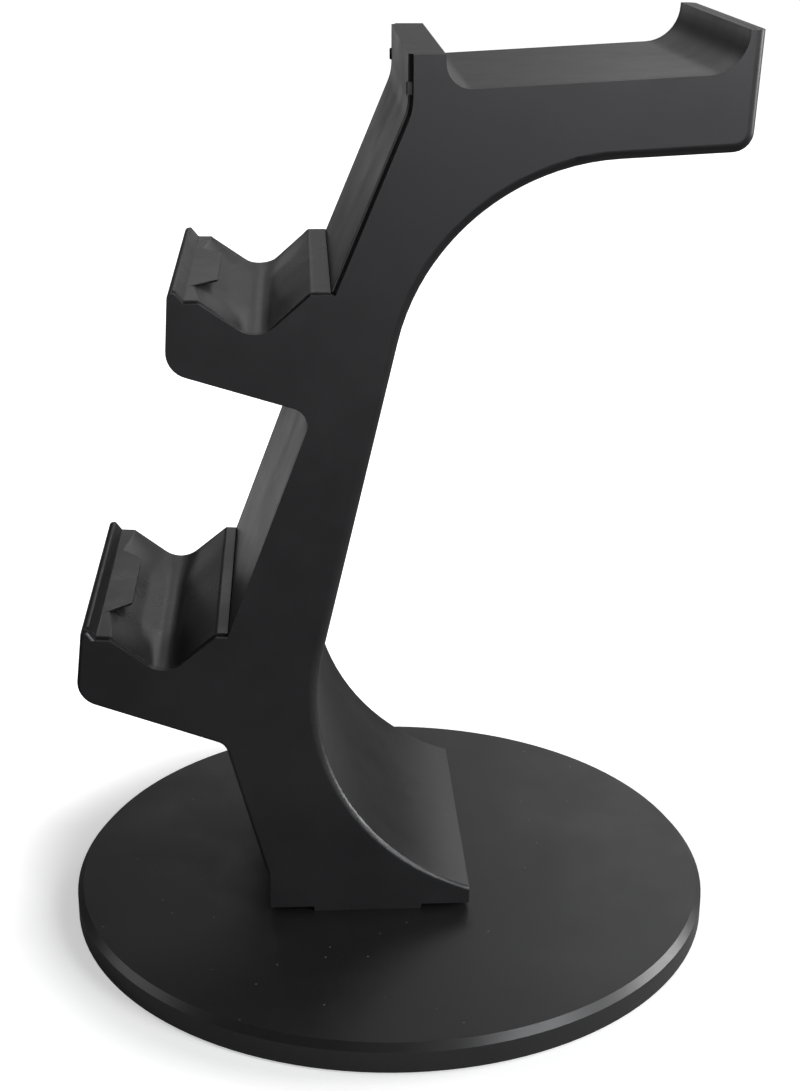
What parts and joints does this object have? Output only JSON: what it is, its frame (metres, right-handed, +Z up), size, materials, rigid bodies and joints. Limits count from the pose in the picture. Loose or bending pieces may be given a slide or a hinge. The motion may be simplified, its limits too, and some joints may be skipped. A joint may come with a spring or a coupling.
{
  "type": "game controller stand",
  "caption": "Desk stand with two trough-shaped controller cradles on a hollow leaning stem, a headset arm with an upturned end, and a round bevelled base.",
  "frame": {"origin": "centre of the round base on the surface it stands on", "axes": "+X along the headset arm, +Y across the stand away from the pictured side, +Z up"},
  "size_m": [0.19, 0.19, 0.2591],
  "materials": {
    "stem_abs": "charcoal black moulded ABS, fine satin texture",
    "insert_abs": "charcoal black moulded ABS, slightly smoother satin",
    "saddle_abs": "charcoal black moulded ABS, satin",
    "base_abs": "charcoal black moulded ABS, even satin, bevelled rim",
    "foot_rubber": "matt black anti-slip rubber",
    "screw_steel": "zinc plated steel"
  },
  "bodies": {
    "root": {"base_disc": "base_abs", "stem_shell": "stem_abs", "headset_rest": "insert_abs", "upper_front_strip": "insert_abs", "lower_front_strip": "insert_abs", "upper_saddle": "saddle_abs", "lower_saddle": "saddle_abs", "base_screws": "screw_steel", "rubber_foot_1": "foot_rubber", "rubber_foot_2": "foot_rubber", "rubber_foot_3": "foot_rubber", "rubber_foot_4": "foot_rubber", "rubber_foot_5": "foot_rubber", "rubber_foot_6": "foot_rubber"}
  },
  "joints": []
}
